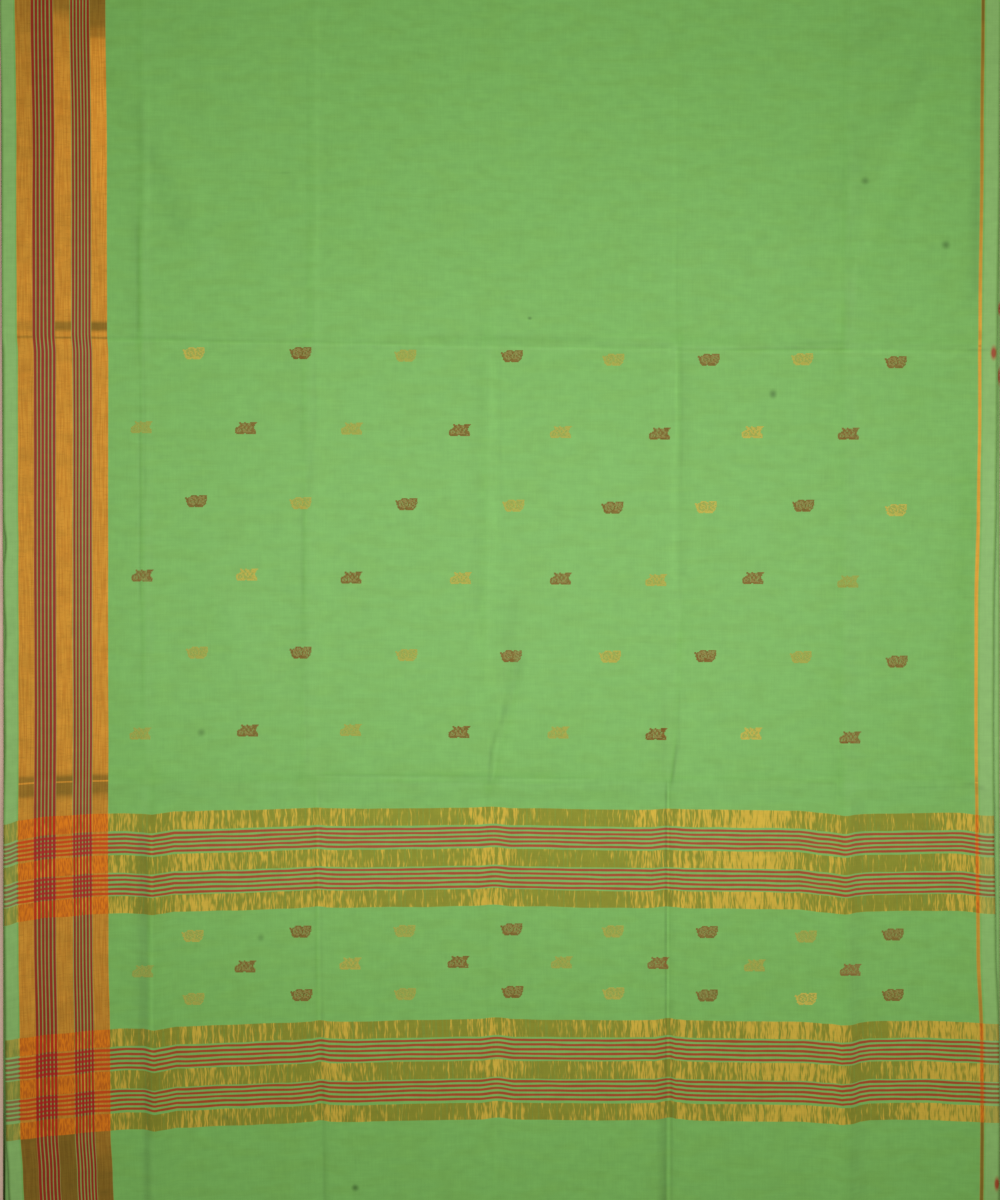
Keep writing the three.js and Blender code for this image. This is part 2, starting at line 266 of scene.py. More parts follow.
# Soft dark spots on the ground, and scraps of loose rust weft at the right-hand selvedge. layer counts
# from the bottom up, as in LAYERS.
SPOTS = table(
    "x y wide high depth layer",
    (429, 492, 7.4, 6.8, 0.62, 3), (524, 417, 7.8, 7.8, 0.72, 3), (321, 242, 6.8, 8, 0.75, 3),
    (-351, -156, 7.2, 7.2, 0.58, 3), (-281, -397, 6.5, 6.5, 0.45, 3), (-170, -691, 6.5, 6, 0.85, 3),
    (-322, -609, 5.5, 5, 0.4, 3), (35, 331, 4, 3, 0.7, 3), (-253, 502, 13, 2.2, 0.22, 3))
RUST_SCRAPS = table(
    "x y wide high depth layer",
    (580, 290, 5.4, 12, 1.4, 3), (583.5, -686, 4.6, 12, 1.4, 3), (587.6, 343, 2.2, 11, 1.5, 2),
    (587.4, 264, 2.2, 15, 1.5, 2))

# The middle of each woven figure in pixels of the photograph, and how strongly its threads show there.
# For a gold figure this strength is painted light: high where its zari catches the light, low where it
# doesn't. Gold and brown take turns along a row.
FIGURE_ROWS = table(
    "figure first_gold middles",
    ("bud", True, (
        (194, 353, 0.83), (301, 353, 1.0), (406, 355.5, 0.27), (512.5, 356, 1.0), (614, 359.5, 0.35),
        (709.5, 359.5, 0.9), (803, 359, 0.57), (896.5, 362, 0.9))),
    ("leaf", True, (
        (141.5, 427.5, 0.12), (246, 428.5, 0.9), (352, 429, 0.28), (460, 430.5, 1.0), (561, 432.5, 0.4),
        (660, 434, 0.95), (753, 432.5, 0.78), (849, 434, 0.85))),
    ("bud", False, (
        (196.5, 501, 1.0), (301, 503, 0.42), (407, 504, 1.0), (514, 505.5, 0.47), (613, 507.5, 1.0),
        (706.5, 507, 0.81), (804, 505.5, 0.95), (896.5, 510, 0.83))),
    ("leaf", False, (
        (142.5, 576, 0.8), (247, 575, 0.76), (351.5, 578, 1.0), (461, 578.5, 0.54), (561, 579, 0.9),
        (656.5, 580.5, 0.46), (753.5, 578.5, 0.85), (848.5, 582, 0.08))),
    ("bud", True, (
        (197.5, 652.5, 0.34), (301, 652.5, 0.95), (407, 655, 0.34), (511.5, 656, 0.85), (610.5, 656.5, 0.6),
        (706, 656, 0.9), (801.5, 657, 0.28), (897.5, 661.5, 0.85))),
    ("leaf", True, (
        (140.5, 734, 0.21), (248, 731, 0.95), (351, 730.5, 0.22), (459.5, 732.5, 1.0), (558.5, 733, 0.31),
        (656.5, 734.5, 1.0), (751.5, 734, 0.91), (850.5, 738, 0.8))),
    ("bud", True, (
        (193, 936, 0.5), (301, 931.5, 1.0), (405, 931, 0.26), (512, 929.5, 0.9), (613.5, 931.5, 0.36),
        (707.5, 932, 0.85), (806.5, 936.5, 0.3), (893.5, 934.5, 0.85))),
    ("leaf", True, (
        (143, 972, 0.05), (245.5, 967, 0.9), (350.5, 964, 0.53), (458.5, 962.5, 0.95), (562, 963, 0.22),
        (658.5, 963.5, 0.7), (755, 966, 0.27), (851, 970.5, 0.5))),
    ("bud", True, (
        (194, 999, 0.29), (302, 995, 1.0), (405.5, 994, 0.26), (513, 992, 0.95), (614, 993.5, 0.55),
        (707.5, 995.5, 1.0), (806.5, 999, 1), (893.5, 995, 0.9))))

# Each figure is charted, one line for each pick of extra weft and one sign for each warp end it
# passes: # is a close float, + one that lets the ground show through, and a dot is bare ground
CHARTS = {
    "bud": """
        ......######..########
        .....###++####++##++##
        ##.##++++++###+++++###
        ####++##+++##+++##+###
        .###+++###++###++###+#
        .###+##++##+##+##++###
        .###+##+##++##+##++##.
        ..##++##+##+##++###+#.
        ..###+++++###+++++###.
        ..#####++########+##..
        ...################...
        ....#####.########....
    """.split(),
    "leaf": """
        ....##...##....#######
        ....####+####++######.
        .....###++###++#####..
        ....+####+####+#####..
        ...####+###+####+##...
        .#####++###+###++##...
        ###++###+##+###+###...
        ##++#+##++###++#####..
        ##+##+##+++##++#####+.
        ##+++###++++++++#####.
        ##################+##.
        .########..##########.
    """.split(),
}


def linear_colour(text):
    """Turns an sRGB hex colour into the linear one that shaders and lights use."""
    channels = [int(text[start:start + 2], 16) / 255 for start in (1, 3, 5)]
    return [c / 12.92 if c <= 0.04045 else ((c + 0.055) / 1.055) ** 2.4 for c in channels] + [1.0]


def length_property(name, description, default):
    return bpy.props.FloatProperty(
        name=name, description=description, default=default, unit="LENGTH", precision=5)


def colour_property(name, description, default):
    return bpy.props.FloatVectorProperty(
        name=name, description=description, default=linear_colour(default), size=4, subtype="COLOR")


class SariClothSettings(bpy.types.PropertyGroup):
    """Sizes and colours of the cloth"""
    width: length_property("Width", "From selvedge to selvedge", 1.17)
    thickness: length_property("Thickness", "Of the woven cloth", 0.0005)
    pitch: length_property("Layer spacing", "From one layer to the next", 0.0034)
    lowest: length_property("Lowest layer", "Height of the lowest layer's middle", 0.0006)
    fold_reach: length_property("Fold reach", "How far a fold springs out past its layers", 0.006)
    hem: length_property("Hem", "Width of the turned hem at each cut end", 0.009)
    step: length_property("Mesh step", "Longest side of a face of the top layer", 0.0115)
    ground: colour_property("Ground", "Green cotton", "#7abb5e")
    selvedge: colour_property("Selvedge", "Paler green strip at each side", "#8bbf6c")
    gold: colour_property("Gold", "Zari in the warp of the border", "#de9f34")
    maroon: colour_property("Maroon", "Stripes of the border", "#9a2404")
    olive: colour_property("Olive", "Zari weft over the green warp", "#8d912c")
    orange: colour_property("Orange", "Zari weft over the gold warp", "#e6840e")
    rust: colour_property("Rust", "Stripes of the pallu over the green warp", "#a84516")
    crimson: colour_property("Crimson", "Where stripes cross stripes", "#b2060a")


class SariFigureSettings(bpy.types.PropertyGroup):
    """Sizes and colours of the woven figures"""
    pick: length_property("Pick", "From one float of extra weft to the next", 0.00118)
    height: length_property("Height", "How far a float stands above the cloth", 0.00022)
    seed: bpy.props.IntProperty(name="Seed", description="For the unevenness of the floats", default=7)
    brown: colour_property("Brown", "Dark figures", "#906629")
    gold: colour_property("Gold", "Gold figures", "#dac355")


class SariStageSettings(bpy.types.PropertyGroup):
    """Floor, camera and lights"""
    floor: colour_property("Floor", "Plain pale floor", "#f2cdbd")
    distance: length_property("Camera height", "Above the cloth", 3.3)
    key_height: length_property("Light height", "Of the soft light above the cloth", 1.62)
    key_power: bpy.props.FloatProperty(
        name="Light power", description="Of the soft light", default=25.2, unit="POWER")
    fill: bpy.props.FloatProperty(
        name="Fill", description="Strength of the light from all round", default=0.14)


def between(pairs, place):
    """Value at a place between pairs of a place and its value, eased from pair to pair."""
    if place <= pairs[0][0]:
        return pairs[0][1]
    for (before, low), (after, high) in zip(pairs, pairs[1:]):
        if place <= after:
            share = (place - before) / (after - before)
            eased = share * share * (3 - 2 * share)
            return low + eased * (high - low)
    return pairs[-1][1]


def rounded_ridge(distance, rise, half_width):
    return rise * math.exp(-((distance / half_width) ** 2))


def uneven(*place):
    """Smooth noise from -1 to 1. Each place comes divided by the millimetres over which it changes."""
    return noise.noise(Vector(place))


def beside(line, x, y):
    """How far a place lies along a line and aside of it, and how long the line is."""
    run_x, run_y = line.to_x - line.x, line.to_y - line.y
    length = math.hypot(run_x, run_y)
    along = ((x - line.x) * run_x + (y - line.y) * run_y) / length
    aside = ((x - line.x) * run_y - (y - line.y) * run_x) / length
    return along, aside, length


def stations(low, high, step, close):
    """Places from low to high, a step apart or less, and closer together inside the close ranges."""
    stops = sorted({low, high, *(stop for span in close for stop in span if low < stop < high)})
    places = []
    for before, after in zip(stops, stops[1:]):
        inside = any(first <= before < last for first, last in close)
        count = math.ceil((after - before) / (CLOSE_STEP if inside else step))
        places += [before + (after - before) * number / count for number in range(count)]
    return places + [high]


class ClothShape:
    """Where each point of the cloth lies, in millimetres, before it is centred on the frame's box."""

    TOP = len(LAYERS) - 1
    END_LIFT, END_LIFT_LENGTH = 2.4, 70
    SELVEDGE_LIFT, SELVEDGE_LIFT_WIDTH = 1.1, 26
    FOLD_STEPS = 6
    # The lower layers lie flat, so their faces are this many times as long
    LOWER_STEPS = 15
    # Columns near a selvedge, by their distance from it
    EDGE_COLUMNS = (0, 3, 8, 15)
    # A hem lies this many thicknesses from its cloth, and its fold turns within this length
    HEM_THICKNESSES, HEM_TURN = 1.3, 0.3
    # Shares by which a fold line's rise, a press mark's depth and a selvedge's lift vary
    RISE_VARIES, DEPTH_VARIES, LIFT_VARIES = 0.35, 0.45, 0.8
    # How far a fold line and a hidden layer's selvedge wander
    LINE_WANDERS, LAYER_WANDERS = 2.2, 0.7
    # The cloth was handled most round this place. Waves rise this much, and the small ones more there.
    HANDLED_X, HANDLED_Y, HANDLED_REACH = 95, -85, 230
    BROAD_WAVES, SMALL_WAVES, HANDLED_WAVES = 0.55, 0.12, 0.42

    def __init__(self, settings):
        self.width = settings.width / MM
        self.half = self.width / 2
        self.pitch = settings.pitch / MM
        self.lowest = settings.lowest / MM
        self.reach = settings.fold_reach / MM
        self.hem = settings.hem / MM
        self.step = settings.step / MM
        self.thickness = settings.thickness / MM
        self.front, self.back = TURNS[-1].at, TURNS[-2].at
        self.middle_y = (self.front + self.back) / 2
        self.left_edge = [(row.y, row.left) for row in SELVEDGES]
        self.right_edge = [(row.y, row.right) for row in SELVEDGES]
        self.courses = [(y, [(row.x, getattr(row, name)) for row in WEFT_BOW])
                        for name, y in reversed(WEFT_COURSES.items())]

    def fold_line_relief(self, x, y):
        relief = 0.0
        for line in FOLD_LINES:
            along, aside, length = beside(line, x, y)
            if abs(aside) > 3 * line.half_width:
                continue
            fade = rounded_ridge(max(0.0, -along, along - length), 1.0, 1.6 * line.half_width)
            rise = line.rise * (1 + self.RISE_VARIES * uneven(along / 70, line.x / 50, line.y / 50))
            aside += self.LINE_WANDERS * uneven(along / 55, line.y / 40, 3.7)
            relief += rounded_ridge(aside, rise, line.half_width) * fade
        return relief

    def rumple(self, x, y):
        """Small waves where the cloth has been handled, strongest below the middle of the face."""
        away = math.hypot(x - self.HANDLED_X, (y - self.HANDLED_Y) * 1.3)
        handled = rounded_ridge(away, 1.0, self.HANDLED_REACH)
        broad, small = uneven(x / 120, y / 150, 1.3), uneven(x / 34, y / 26, 8.1)
        return self.BROAD_WAVES * broad + (self.SMALL_WAVES + self.HANDLED_WAVES * handled) * small

    def painted_press_shade_and_threads(self, x, y):
        """Painted highlight (above 0) or painted shade (below 0) along the press lines, and lines of single
        thick threads, at a place seen on the top layer.
        """
        shade = 0.0
        for mark in PRESS_SHADE_AND_THREAD_MARKS:
            from_x, from_y, to_x, to_y, half_width, depth = mark
            reach = 2.5 * half_width + MARK_END
            if not (min(from_x, to_x) - reach < x < max(from_x, to_x) + reach):
                continue
            if not (min(from_y, to_y) - reach < y < max(from_y, to_y) + reach):
                continue
            along, aside, length = beside(mark, x, y)
            deep = depth * (1 + self.DEPTH_VARIES * uneven(along / 22, from_x / 9, from_y / 9))
            inwards = (along, length - along)
            ends = [min(1.0, max(0.0, 0.5 + inward / (2 * MARK_END))) for inward in inwards]
            shade += rounded_ridge(aside, deep, half_width) * ends[0] * ends[1]
        return shade

    def relief(self, x, y):
        """How far the top layer stands above its flat height."""
        relief = 0.0
        for swell in SWELLS:
            turn = 2 * math.pi * (x / swell.apart_x + y / swell.apart_y) + swell.start
            relief += swell.rise * (1 + math.sin(turn))
        to_selvedge = max(0.0, self.half - abs(x))
        waving = 1 + self.LIFT_VARIES * uneven(y / 60, math.copysign(5, x), 0)
        relief += self.SELVEDGE_LIFT * waving * math.exp(-to_selvedge / self.SELVEDGE_LIFT_WIDTH)
        to_end = max(0.0, min(y - self.front, self.back - y))
        relief += self.END_LIFT * math.exp(-to_end / self.END_LIFT_LENGTH)
        return relief + self.fold_line_relief(x, y) + self.rumple(x, y)

    def across(self, flat_x, y, level):
        """Sideways place of a point that is at flat_x on the cloth's flat width."""
        def place(index):
            if index == self.TOP:
                left, right = between(self.left_edge, y), between(self.right_edge, y)
                share = (flat_x + self.half) / self.width
                curl = sum(rounded_ridge(y - c.y, c.reach, c.half_length) for c in CURLS)
                return left + (right - left) * share + curl * math.exp(-share * self.width / CURL_WIDTH)
            layer = LAYERS[index]
            wander = self.LAYER_WANDERS * uneven(y / 90, index * 3.1, math.copysign(2, flat_x))
            return flat_x + layer.side + layer.skew * y / 1000 + wander
        lower = int(level)
        upper = min(self.TOP, lower + 1)
        return place(lower) + (level - lower) * (place(upper) - place(lower))

    def along(self, flat_x, y, level):
        """y of a point, moved because the fold or end nearest to it lies askew."""
        turn = TURNS[2 * int(level // 2) + 1 if y > self.middle_y else 2 * int(level / 2 + 0.5)]
        share = flat_x / self.width
        askew = turn.tilt * share + turn.bow * (1 - (2 * share) ** 2)
        return y + askew * abs(y - self.middle_y) / (self.back - self.middle_y)

    def point(self, flat_x, y, height, level):
        lifted = height + level / self.TOP * self.relief(flat_x, y)
        return Vector((self.across(flat_x, y, level), self.along(flat_x, y, level), lifted))

    def weft_bow(self, x, y):
        """How far the weft sags towards the pallu end at a place on the top layer."""
        return between([(course_y, between(bows, x)) for course_y, bows in self.courses], y)

    def weft_drop(self, flat_x, y):
        """The bow, less the shift of a layer whose fold or end lies askew."""
        return self.weft_bow(flat_x, y) + self.along(flat_x, y, self.TOP) - y

    def cloth_place(self, x, y, layer):
        """Where a place seen on one of the upper two layers lies on the cloth: from the left selvedge,
        and from the pallu."""
        if layer < self.TOP:
            lying = LAYERS[layer]
            turn = math.pi * math.hypot(self.reach, self.pitch / 2) / math.sqrt(2)
            covered = self.back - self.front + turn + self.back - y
            return x - lying.side - lying.skew * y / 1000 + self.half, covered
        left, right = between(self.left_edge, y), between(self.right_edge, y)
        across = (x - left) / (right - left) * self.width
        return across, y - self.front + self.weft_bow(across - self.half, y)

    def rows(self):
        """Places along the cloth from the pallu's hem to the inner end: y, height, level and length."""
        rows = []
        hem_drop = self.thickness * self.HEM_THICKNESSES
        for index in range(self.TOP, -1, -1):
            height = self.lowest + index * self.pitch
            start, finish = TURNS[index + 1].at, TURNS[index].at
            onwards = math.copysign(1, finish - start)
            step, close = self.step * self.LOWER_STEPS, []
            if index == self.TOP:
                step, close = self.step, CLOSE_ROWS
                under = ((self.hem, 1), (self.hem / 2, 1), (self.HEM_TURN, 0.8), (0, 0.5))
                rows += [(start + inwards, height - hem_drop * share, index)
                         for inwards, share in under]
            places = stations(min(start, finish), max(start, finish), step, close)
            if onwards < 0:
                places.reverse()
            rows.append((start + self.HEM_TURN * onwards, height, index))
            rows += [(y, height, index) for y in (*places[1:-1], finish)]
            if index > 0:
                for number in range(1, self.FOLD_STEPS):
                    turned = math.pi * number / self.FOLD_STEPS
                    drop = (1 - math.cos(turned)) / 2
                    out = onwards * self.reach * math.sin(turned)
                    rows.append((finish + out, height - drop * self.pitch, index - drop))
            else:
                over = ((self.HEM_TURN, 0.5), (self.hem / 2, 1), (self.hem, 1))
                rows += [(finish - inwards * onwards, height + hem_drop * share, index)
                         for inwards, share in over]
        length = 0.0
        measured = []
        for before, row in zip([rows[0]] + rows, rows):
            length += math.hypot(row[0] - before[0], row[1] - before[1])
            measured.append(row + (length,))
        return measured

    def columns(self):
        """Flat places across the cloth, closer together at the press lines and the selvedges."""
        *edge, inmost = self.EDGE_COLUMNS
        inner = stations(inmost - self.half, self.half - inmost, self.step, CLOSE_COLUMNS)
        left = [place - self.half for place in edge]
        return left + inner + [-place for place in reversed(left)]


def centred(points):
    """Shift that brings the cloth's own box over the middle of the frame's box."""
    shift = Vector((0, 0, 0))
    for axis in (0, 1):
        values = [point[axis] for point in points]
        middle = (min(values) + max(values)) / 2
        shift[axis] = (CAD_BOX[0][axis] + CAD_BOX[1][axis]) / 2 / MM - middle
    return shift


def new_piece(name, points, faces, material):
    """A mesh object in metres, at the origin. Its caller attaches it to the one body."""
    mesh = bpy.data.meshes.new(name)
    mesh.from_pydata([tuple(p * MM) for p in points], [], faces)
    mesh.materials.append(material)
    piece = bpy.data.objects.new(name, mesh)
    bpy.context.scene.collection.objects.link(piece)
    return piece


def add(tree, kind, inputs=None, **settings):
    """Adds a node with its settings. inputs are values, hex colours, or the sockets they come from."""
    made = tree.nodes.new(kind)
    for name, value in settings.items():
        setattr(made, name, value)
    for key, value in (inputs or {}).items():
        if isinstance(value, bpy.types.NodeSocket):
            tree.links.new(value, made.inputs[key])
        else:
            made.inputs[key].default_value = linear_colour(value) if isinstance(value, str) else value
    return next((output for output in made.outputs if output.enabled), None)


# Sockets of a colour mix
SHARE, UNDER, OVER = 0, 6, 7


def coated(tree, colour, *coats):
    """A colour with others laid over it in turn. Each has its mask, and the most that it covers."""
    for over, mask, most in coats:
        share = mask if most == 1 else scaled(tree, mask, most)
        colour = add(tree, "ShaderNodeMix", {SHARE: share, UNDER: colour, OVER: over}, data_type="RGBA")
    return colour


def shaded(tree, colour, shade):
    return add(tree, "ShaderNodeMix", {SHARE: 1.0, UNDER: colour, OVER: shade},
               data_type="RGBA", blend_type="MULTIPLY")


def scaled(tree, value, factor, plus=0.0):
    return add(tree, "ShaderNodeMath", {0: value, 1: factor, 2: plus}, operation="MULTIPLY_ADD")


def joining(operation):
    """A function that joins any number of values by one operation."""
    def joined(tree, *values):
        result = values[0]
        for value in values[1:]:
            result = add(tree, "ShaderNodeMath", {0: result, 1: value}, operation=operation)
        return result
    return joined


# The sum of several values, the product of several masks, and the larger of several masks
total, both, either = joining("ADD"), joining("MULTIPLY"), joining("MAXIMUM")


def contrast(tree, value, low, high):
    """Spreads the part of a value between two limits from 0 to 1."""
    return add(tree, "ShaderNodeMapRange", {0: value, 1: low, 2: high}, interpolation_type="SMOOTHSTEP")


def strip(tree, place, start, end, soft):
    """1 between two places and 0 elsewhere, with soft sides."""
    rise = contrast(tree, place, start - soft, start + soft)
    return both(tree, rise, contrast(tree, place, end + soft, end - soft))


def strips(tree, place, spans, soft):
    return [strip(tree, place, span.start, span.end, soft) for span in spans]


def stripes(tree, place, groups, soft):
    """1 on each stripe of some evenly spaced groups."""
    masks = []
    for group in groups:
        from_first = add(tree, "ShaderNodeMath", {0: place, 1: group.first}, operation="SUBTRACT")
        aside = add(tree, "ShaderNodeMath", {0: from_first, 1: group.apart / 2}, operation="PINGPONG")
        on = contrast(tree, aside, group.width / 2 + soft, group.width / 2 - soft)
        last = group.first + group.apart * (group.count - 1)
        inside = strip(tree, place, group.first - group.apart / 2, last + group.apart / 2, soft / 4)
        masks.append(both(tree, on, inside))
    return either(tree, *masks)


def streaks(tree, cloth, across_mm, along_mm, shift=0.0, detail=1.0):
    """Noise from 0 to 1 whose blots are so long across and along the cloth."""
    x, y = (scaled(tree, place, 1 / size, shift) for place, size in zip(cloth, (across_mm, along_mm)))
    place = add(tree, "ShaderNodeCombineXYZ", {"X": x, "Y": y})
    return add(tree, "ShaderNodeTexNoise", {"Vector": place, "Scale": 1.0, "Detail": detail},
               noise_dimensions="2D")


def ramp(tree, place, stops):
    """A value that passes in straight lines through stops of (place, value), places from 0 to 1."""
    values = add(tree, "ShaderNodeValToRGB", {0: place})
    elements = values.node.color_ramp.elements
    while len(elements) < len(stops):
        elements.new(0.5)
    for element, (position, value) in zip(elements, stops):
        element.position = position
        element.color = (value, value, value, 1)
    return values


def patches(tree, cloth, shape, spots):
    """Soft patches on the cloth, 1 at the middle of each and 0 between them, by their depths."""
    masks = []
    for spot in spots:
        middle = shape.cloth_place(spot.x, spot.y, spot.layer)
        x, y = (scaled(tree, place, 1 / size, -at / size)
                for place, at, size in zip(cloth, middle, (spot.wide, spot.high)))
        place = add(tree, "ShaderNodeCombineXYZ", {"X": x, "Y": y})
        away = add(tree, "ShaderNodeVectorMath", {0: place}, operation="LENGTH").node.outputs["Value"]
        masks.append(scaled(tree, contrast(tree, away, 1.0, 0.0), spot.depth))
    return total(tree, *masks)


def new_material(name):
    material = bpy.data.materials.new(name)
    material.use_nodes = True
    material.node_tree.nodes.clear()
    return material


def finish_surface(tree, inputs, bump_height, bump_mm, strength):
    """Principled surface with its bump, joined to the output."""
    normal = add(tree, "ShaderNodeBump",
                 {"Height": bump_height, "Distance": bump_mm * MM, "Strength": strength})
    surface = add(tree, "ShaderNodeBsdfPrincipled", {**inputs, "Normal": normal})
    add(tree, "ShaderNodeOutputMaterial", {"Surface": surface})


# Real threads lie 0.4 mm apart, which no pixel shows. The weave is drawn five times as coarse.
WEAVE_APART_MM = 2.0
SOFT_EDGE_MM = 0.42
# How often the colour of the figures' floats changes in a metre, across and along the cloth
FLOAT_BLOTS = (150.0, 800.0, 0.0)


def sari_cotton(settings, shape, cloth_length):
    """Hand-woven plain-weave cotton, matt and a little streaky from uneven threads, with zari in the border
    and pallu, which is flatter and shines where the cloth turns, by its metallic finish and by painted
    gleams and highlights. Painted shade and highlight also lie along the press lines and where the zari
    catches less light."""
    material = new_material("handloom_cotton_with_zari")
    tree = material.node_tree
    uv = add(tree, "ShaderNodeUVMap", uv_map="cloth")
    parts = add(tree, "ShaderNodeSeparateXYZ", {0: uv}).node.outputs
    across = scaled(tree, parts["X"], shape.width)
    along = scaled(tree, parts["Y"], cloth_length, -HEM_LENGTH)
    cloth = (across, along)

    # The hand-beaten weft and the reed leave every line a little uneven
    along_line = total(tree, scaled(tree, streaks(tree, cloth, 45, 9, shift=3.0), 1.5, -0.75), along)
    across_line = total(tree, scaled(tree, streaks(tree, cloth, 8, 160, shift=9.0), 1.1, -0.55), across)

    gold_bands = strips(tree, across_line, GOLD_BANDS, SOFT_EDGE_MM)
    maroon = stripes(tree, across_line, MAROON_STRIPES, SOFT_EDGE_MM)
    line = strip(tree, across_line, *(shape.width - place for place in NARROW_LINE), soft=0.9)
    left_edge = strip(tree, across, -PAST_EDGE, LEFT_STRIP, soft=1.0)
    right_edge = strip(tree, across, shape.width - RIGHT_STRIP, shape.width + PAST_EDGE, soft=1.5)
    zari = either(tree, *strips(tree, along_line, ZARI_BANDS, SOFT_EDGE_MM))
    rust = stripes(tree, along_line, RUST_STRIPES, SOFT_EDGE_MM)
    any_gold = either(tree, *gold_bands, line)
    between_stripes = either(tree, *(
        strip(tree, across_line, g.first - g.apart / 2, g.first + g.apart * (g.count - 0.5), 0.3)
        for g in MAROON_STRIPES))

    # Ground: short streaks of thick and thin threads both ways, and faint blots of uneven dye
    streak = total(tree, streaks(tree, cloth, 1.7, 26), streaks(tree, cloth, 34, 1.7, shift=5.0))
    blots = streaks(tree, cloth, 15, 10, shift=2.0)
    tone = both(tree, scaled(tree, streak, 0.09, 0.91), scaled(tree, blots, 0.15, 0.925))
    yellowed = scaled(tree, contrast(tree, streaks(tree, cloth, 50, 14, shift=15.0), 0.35, 0.75), 0.28)
    ground = coated(
        tree, settings.ground, ("#78b04c", yellowed, 1),
        (settings.selvedge, either(tree, left_edge, right_edge), 1), ("#a68c48", between_stripes, 0.35))

    # Border gold: fine lines along the warp, with painted shade at the pallu end and on the press lines,
    # and painted highlights in a few stretches and on the edges of press lines
    gold_streak = contrast(tree, streaks(tree, cloth, 1.7, 40, shift=7.0), 0.3, 0.7)
    gold_cross = contrast(tree, streaks(tree, cloth, 9, 1.3, shift=1.0), 0.55, 0.75)
    gold_colour = coated(
        tree, "#cf8c28", (settings.gold, gold_streak, 1), ("#96691c", gold_cross, 0.2),
        ("#a67c20", yellowed, 0.6), ("#eab440", line, 0.6))
    painted_zari_light = 1.0
    for zone in PAINTED_ZARI_SHADE_AND_LIGHT:
        painted_shade_zone = strip(tree, along_line, zone.start, zone.end, zone.soft)
        depths = [scaled(tree, band, depth) for band, depth in zip([*gold_bands, line], zone.depths)]
        painted_zari_light = both(tree, scaled(tree, both(tree, painted_shade_zone, total(tree, *depths)), -1.0, 1.0), painted_zari_light)
    painted_zari_light = either(tree, painted_zari_light, *strips(tree, along_line, PAINTED_EDGE_HIGHLIGHTS, 0.6))
    # Painted shade: where the zari catches less light its colour goes towards this dark olive
    gold_colour = add(tree, "ShaderNodeMix", {SHARE: painted_zari_light, UNDER: "#30460a", OVER: gold_colour},
                      data_type="RGBA", clamp_factor=False)

    # Zari weft over green: olive, with upright painted gold gleams in clumps, a painted reflection where
    # the cloth turns to the light
    upper, lower = (
        ramp(tree, parts["X"], [(0.5 + g.x / shape.width, getattr(g, name)) for g in PAINTED_GLEAMS])
        for name in ("upper", "lower"))
    share = coated(tree, lower, (upper, strip(tree, along, *UPPER_BANDS, 5), 1))
    waver = scaled(tree, streaks(tree, cloth, 30, 7, shift=13.0, detail=0.0), 1.2)
    wavering = (total(tree, waver, across), along)
    broad = streaks(tree, wavering, 4.6, 42, shift=4.0, detail=2.0)
    fine = streaks(tree, wavering, 1.5, 10, shift=6.0, detail=0.0)
    painted_gleam = total(tree, scaled(tree, broad, 0.66), scaled(tree, fine, 0.34), scaled(tree, share, 0.36))
    painted_gleam = contrast(tree, painted_gleam, 0.58, 0.80)
    thin_line = contrast(tree, streaks(tree, cloth, 2.4, 60, shift=11.0, detail=0.0), 0.60, 0.72)
    zari_colour = coated(
        tree, settings.olive, ("#7f9a3c", thin_line, 0.5), ("#d2b440", painted_gleam, 1),
        ("#8fa14c", left_edge, 0.6), ("#a3ad58", right_edge, 0.5))
    orange_streak = contrast(tree, streaks(tree, cloth, 1.6, 9, shift=8.0), 0.36, 0.68)
    orange = coated(tree, settings.orange, ("#c6690f", orange_streak, 1))
    rust_colour = coated(
        tree, settings.rust, ("#8a7c48", left_edge, 0.75), ("#857c42", right_edge, 0.5))

    # What each warp shows on the ground, under the zari weft and under the rust weft
    on_ground = coated(tree, ground, (gold_colour, any_gold, 1), (settings.maroon, maroon, 1))
    on_zari = coated(tree, zari_colour, (orange, any_gold, 1), ("#c42e06", maroon, 1))
    on_rust = coated(tree, rust_colour, ("#d04c0a", any_gold, 1), (settings.crimson, maroon, 1))
    colour = shaded(tree, coated(tree, on_ground, (on_zari, zari, 1), (on_rust, rust, 1)), tone)

    # Painted shade and highlight along the press lines, with lines of thick threads, then spots and scraps
    press = add(tree, "ShaderNodeAttribute", attribute_name="press").node.outputs["Fac"]
    colour = coated(
        tree, shaded(tree, colour, scaled(tree, press, 1.0, 1.0)),
        ("#467430", patches(tree, cloth, shape, SPOTS), 1),
        ("#a34a26", patches(tree, cloth, shape, RUST_SCRAPS), 1))

    # Bump: the plain weave
    waves = (add(tree, "ShaderNodeMath", {0: scaled(tree, place, 2 * math.pi / WEAVE_APART_MM)},
                 operation="SINE") for place in cloth)
    weave = scaled(tree, both(tree, *waves), 0.5, 0.5)

    metal = either(tree, any_gold, zari)
    finish_surface(tree, {
        "Base Color": colour,
        "Roughness": scaled(tree, metal, 0.15, 0.5),
        "Metallic": scaled(tree, metal, 0.35),
        "Specular IOR Level": 0.26,
    }, weave, bump_mm=0.06, strength=0.2)
    return material


